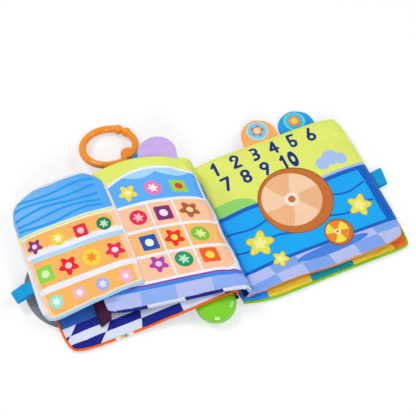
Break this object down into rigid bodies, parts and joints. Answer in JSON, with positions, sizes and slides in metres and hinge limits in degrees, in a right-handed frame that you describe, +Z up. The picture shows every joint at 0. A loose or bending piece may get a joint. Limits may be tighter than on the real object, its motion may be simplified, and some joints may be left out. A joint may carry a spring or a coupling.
{
  "type": "electronic baby book",
  "caption": "Soft padded cloth book lying open, with folding panel, tabs, ribbons, a carry ring and a push-button sound module.",
  "frame": {"origin": "underside of the spine, halfway up the book, on the surface that the book lies on", "axes": "+X to the fore edge of the right cover, +Y to the top of the pages, +Z up from the surface"},
  "size_m": [0.3779, 0.2542, 0.0425],
  "materials": {
    "cover_cloth_amber": "smooth printed polyester satin, padded",
    "cover_cloth_navy": "smooth printed polyester satin, padded, in a check",
    "page_cloth_blue": "smooth printed polyester satin with soft batting",
    "page_cloth_lime": "smooth printed polyester satin with soft batting",
    "panel_cloth": "smooth printed polyester satin with soft batting",
    "orange_binding": "folded binding tape with a fine weave",
    "lime_binding": "folded binding tape with a fine weave",
    "teal_ribbon": "woven satin ribbon",
    "maroon_webbing": "woven tape",
    "grey_felt": "matt felt",
    "lilac_cloth": "short brushed cloth",
    "orange_cloth": "printed polyester satin",
    "sky_cloth": "printed polyester satin",
    "green_plastic": "moulded, high gloss",
    "orange_plastic": "moulded, high gloss",
    "yellow_plastic": "moulded, translucent, high gloss",
    "dark_plastic": "moulded, fine texture",
    "silicone": "soft, matt",
    "board": "laminate with a solder mask",
    "steel": "plated steel",
    "cell_wrap": "shrink sleeve"
  },
  "bodies": {
    "base": {"back_cover": "cover_cloth_amber", "back_cover_binding": "lime_binding", "spine_panel": "cover_cloth_navy", "blue_tab": "sky_cloth", "right_ribbon": "teal_ribbon", "right_page_gusset": "page_cloth_blue", "cover_hinge_cloth": "cover_cloth_navy"},
    "right_page": {"right_page": "page_cloth_blue", "orange_tab": "orange_cloth"},
    "front_cover": {"front_cover": "cover_cloth_navy", "front_cover_binding": "orange_binding", "felt_disc": "grey_felt", "closing_strap": "maroon_webbing", "ring_strap": "teal_ribbon", "left_page_gusset": "page_cloth_blue", "module_lower_shell": "green_plastic", "module_upper_shell": "green_plastic", "case_screw_1": "steel", "case_screw_2": "steel", "case_screw_3": "steel", "case_screw_4": "steel", "battery_cell_1": "cell_wrap", "battery_cell_2": "cell_wrap", "spring_contact": "steel", "bridge_contact": "steel", "silicone_ring": "silicone", "circuit_board": "board", "light_diode": "yellow_plastic", "speaker": "dark_plastic"},
    "left_page": {"left_page": "page_cloth_lime", "lilac_tab": "lilac_cloth"},
    "door_flap": {"door_flap": "panel_cloth", "flap_ribbon": "teal_ribbon"},
    "carry_ring": {"carry_ring": "orange_plastic"},
    "push_button": {"push_button": "yellow_plastic"},
    "power_slider": {"power_slider": "dark_plastic"},
    "battery_door": {"battery_door": "green_plastic", "battery_door_screw": "steel"}
  },
  "joints": [
    {"name": "cover_hinge", "type": "hinge", "parent": "base", "child": "front_cover", "pos_m": [-0.008, 0, 0.027], "axis": [0, 1, 0], "range_deg": [0, 165], "deforming": ["cover_hinge_cloth", "left_page_gusset"]},
    {"name": "right_page_hinge", "type": "hinge", "parent": "base", "child": "right_page", "pos_m": [0.002, 0, 0.027], "axis": [0, 1, 0], "range_deg": [-155, 0], "deforming": ["right_page_gusset"]},
    {"name": "left_page_hinge", "type": "hinge", "parent": "front_cover", "child": "left_page", "pos_m": [-0.002, 0, 0.027], "axis": [0, -1, 0], "range_deg": [-165, 0], "deforming": ["left_page_gusset"]},
    {"name": "door_flap_hinge", "type": "hinge", "parent": "left_page", "child": "door_flap", "pos_m": [-0.085, 0.03375, 0.027], "axis": [0, 0.9954, 0.0958], "range_deg": [0, 170], "deforming": ["door_flap", "flap_ribbon"]},
    {"name": "ring_swing", "type": "hinge", "parent": "front_cover", "child": "carry_ring", "pos_m": [-0.04042, 0.10819, 0.0163], "axis": [0.8191, 0.5736, 0], "range_deg": [0, 60], "deforming": ["ring_strap"]},
    {"name": "button_press", "type": "slide", "parent": "front_cover", "child": "push_button", "axis": [0, 0, 1], "range_m": [0, 0.0015], "stiffness_N_per_m": 600, "deforming": ["silicone_ring"]},
    {"name": "power_slide", "type": "slide", "parent": "front_cover", "child": "power_slider", "axis": [1, 0, 0], "range_m": [0, 0.004]},
    {"name": "battery_door_lift", "type": "slide", "parent": "front_cover", "child": "battery_door", "axis": [0, 0, -1], "range_m": [0, 0.006]}
  ]
}
